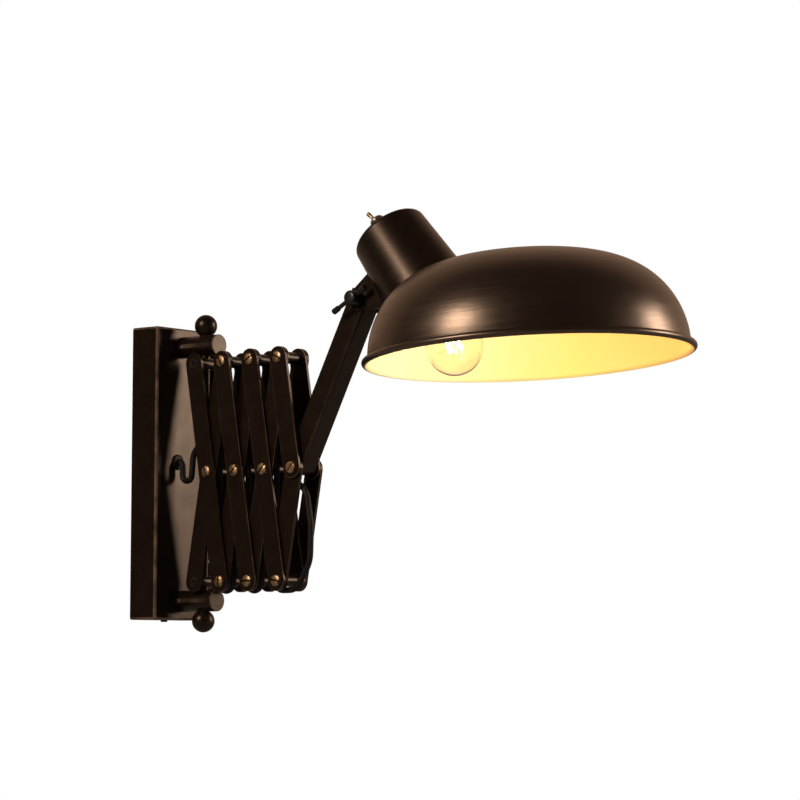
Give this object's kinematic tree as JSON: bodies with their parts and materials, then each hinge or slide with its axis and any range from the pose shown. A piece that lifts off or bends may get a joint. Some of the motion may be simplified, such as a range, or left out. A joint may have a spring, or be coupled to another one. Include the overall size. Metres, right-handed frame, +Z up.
{
  "type": "accordion wall lamp",
  "caption": "Wall lamp with a shallow wall box, a swivelling scissor of flat bars, a tilting square arm and a domed spun shade on a tapered cup with a toggle switch.",
  "frame": {"origin": "centre of the wall box's open back, on the wall plane", "axes": "+Y into the wall, +Z up, so the lamp reaches out along -Y and +X is to the right of someone who faces the wall"},
  "size_m": [0.3152, 0.634, 0.4104],
  "materials": {
    "dark_paint": "satin bronze-brown paint",
    "shade_paint": "satin bronze-brown paint outside, white enamel inside",
    "brass": "brushed",
    "zinc_steel": "zinc plated",
    "black_steel": "black satin",
    "black_rubber": "matte",
    "cord_black": "matte",
    "black_plastic": "matte",
    "holder_plastic": "moulded",
    "nickel": "polished",
    "cap_metal": "bright",
    "clear_glass": "clear",
    "filament": "glowing"
  },
  "bodies": {
    "wall_bracket": {"wall_box": "dark_paint", "wall_strap": "zinc_steel", "box_screws": "dark_paint", "terminal_block": "black_plastic", "upper_bracket_rod": "dark_paint", "lower_bracket_rod": "dark_paint", "bracket_stubs": "zinc_steel", "bracket_screws": "zinc_steel", "grub_screws": "nickel", "upright_rod": "dark_paint", "ball_nuts": "dark_paint", "cord_grommet": "black_rubber", "cord": "cord_black"},
    "swivel": {"lower_collar": "dark_paint", "lower_collar_screws": "black_steel"},
    "bar_b": {"bar_b_near": "dark_paint", "bar_b_far": "dark_paint", "spacers_b": "dark_paint", "screws_b": "brass"},
    "bar_a": {"bar_a_near": "dark_paint", "bar_a_far": "dark_paint"},
    "bar_d": {"bar_d_near": "dark_paint", "bar_d_far": "dark_paint", "spacers_d": "dark_paint", "screws_d": "brass"},
    "bar_c": {"bar_c_near": "dark_paint", "bar_c_far": "dark_paint"},
    "bar_f": {"bar_f_near": "dark_paint", "bar_f_far": "dark_paint", "spacers_f": "dark_paint", "screws_f": "brass"},
    "bar_e": {"bar_e_near": "dark_paint", "bar_e_far": "dark_paint"},
    "bar_h": {"bar_h_near": "dark_paint", "bar_h_far": "dark_paint", "spacers_h": "dark_paint", "screws_h": "brass", "end_bolt": "brass", "end_nut": "brass"},
    "bar_g": {"bar_g_near": "dark_paint", "bar_g_far": "dark_paint"},
    "upper_slider": {"upper_collar": "dark_paint", "upper_collar_screws": "black_steel"},
    "arm": {"arm_tube": "dark_paint", "arm_barrel": "dark_paint"},
    "head": {"head_bracket": "dark_paint", "bracket_rivets": "black_steel", "clamp_nut": "black_steel", "cup": "dark_paint", "holder_bridge": "zinc_steel", "lampholder": "holder_plastic", "switch_body": "black_plastic", "switch_nut": "nickel", "shade": "shade_paint", "bulb_glass": "clear_glass", "bulb_cap": "cap_metal", "filament_mount": "filament"},
    "clamp": {"clamp_screw": "black_steel"},
    "tommy": {"tommy_bar": "black_steel"},
    "lever": {"switch_lever": "brass"}
  },
  "joints": [
    {"name": "swivel", "type": "hinge", "parent": "wall_bracket", "child": "swivel", "pos_m": [0, -0.065, 0], "axis": [0, 0, 1], "range_deg": [-35, 35], "deforming": ["cord"]},
    {"name": "fold", "type": "hinge", "parent": "swivel", "child": "bar_b", "pos_m": [0, -0.065, -0.11139], "axis": [1, 0, 0], "range_deg": [-1.5, 40], "deforming": ["cord"]},
    {"name": "cross_1", "type": "hinge", "parent": "bar_b", "child": "bar_a", "pos_m": [0, -0.08398, 0], "axis": [1, 0, 0], "range_deg": [-80.3, 3.3]},
    {"name": "low_1", "type": "hinge", "parent": "bar_a", "child": "bar_d", "pos_m": [0, -0.10296, -0.11139], "axis": [1, 0, 0], "range_deg": [-3.3, 80.3]},
    {"name": "cross_2", "type": "hinge", "parent": "bar_d", "child": "bar_c", "pos_m": [0, -0.12194, 0], "axis": [1, 0, 0], "range_deg": [-80.3, 3.3]},
    {"name": "low_2", "type": "hinge", "parent": "bar_c", "child": "bar_f", "pos_m": [0, -0.14092, -0.11139], "axis": [1, 0, 0], "range_deg": [-3.3, 80.3]},
    {"name": "cross_3", "type": "hinge", "parent": "bar_f", "child": "bar_e", "pos_m": [0, -0.1599, 0], "axis": [1, 0, 0], "range_deg": [-80.3, 3.3]},
    {"name": "low_3", "type": "hinge", "parent": "bar_e", "child": "bar_h", "pos_m": [0, -0.17889, -0.11139], "axis": [1, 0, 0], "range_deg": [-3.3, 80.3]},
    {"name": "cross_4", "type": "hinge", "parent": "bar_h", "child": "bar_g", "pos_m": [0, -0.19787, 0], "axis": [1, 0, 0], "range_deg": [-80.3, 3.3]},
    {"name": "upper_collar", "type": "hinge", "parent": "bar_a", "child": "upper_slider", "pos_m": [0, -0.065, 0.11139], "axis": [1, 0, 0], "range_deg": [-1.8, 40.3]},
    {"name": "arm", "type": "hinge", "parent": "bar_h", "child": "arm", "pos_m": [0, -0.19787, 0], "axis": [1, 0, 0], "range_deg": [-22, 45], "deforming": ["cord"]},
    {"name": "head", "type": "hinge", "parent": "arm", "child": "head", "pos_m": [0, -0.28049, 0.16216], "axis": [1, 0, 0], "range_deg": [-75, 40], "deforming": ["cord"]},
    {"name": "clamp", "type": "hinge", "parent": "head", "child": "clamp", "pos_m": [-0.015, -0.28049, 0.16216], "axis": [1, 0, 0], "range_deg": [-110, 140]},
    {"name": "tommy_slide", "type": "slide", "parent": "clamp", "child": "tommy", "axis": [0, -0.878, 0.4787], "range_m": [-0.0042, 0.003]},
    {"name": "switch", "type": "hinge", "parent": "head", "child": "lever", "pos_m": [-0.015, -0.3072, 0.2332], "axis": [1, 0, 0], "range_deg": [0, 26]}
  ],
  "couplings": [
    {"joint": "cross_1", "follows": "fold", "ratio": -2},
    {"joint": "low_1", "follows": "fold", "ratio": 2},
    {"joint": "cross_2", "follows": "fold", "ratio": -2},
    {"joint": "low_2", "follows": "fold", "ratio": 2},
    {"joint": "cross_3", "follows": "fold", "ratio": -2},
    {"joint": "low_3", "follows": "fold", "ratio": 2},
    {"joint": "cross_4", "follows": "fold", "ratio": -2},
    {"joint": "upper_collar", "follows": "fold", "ratio": 1}
  ]
}
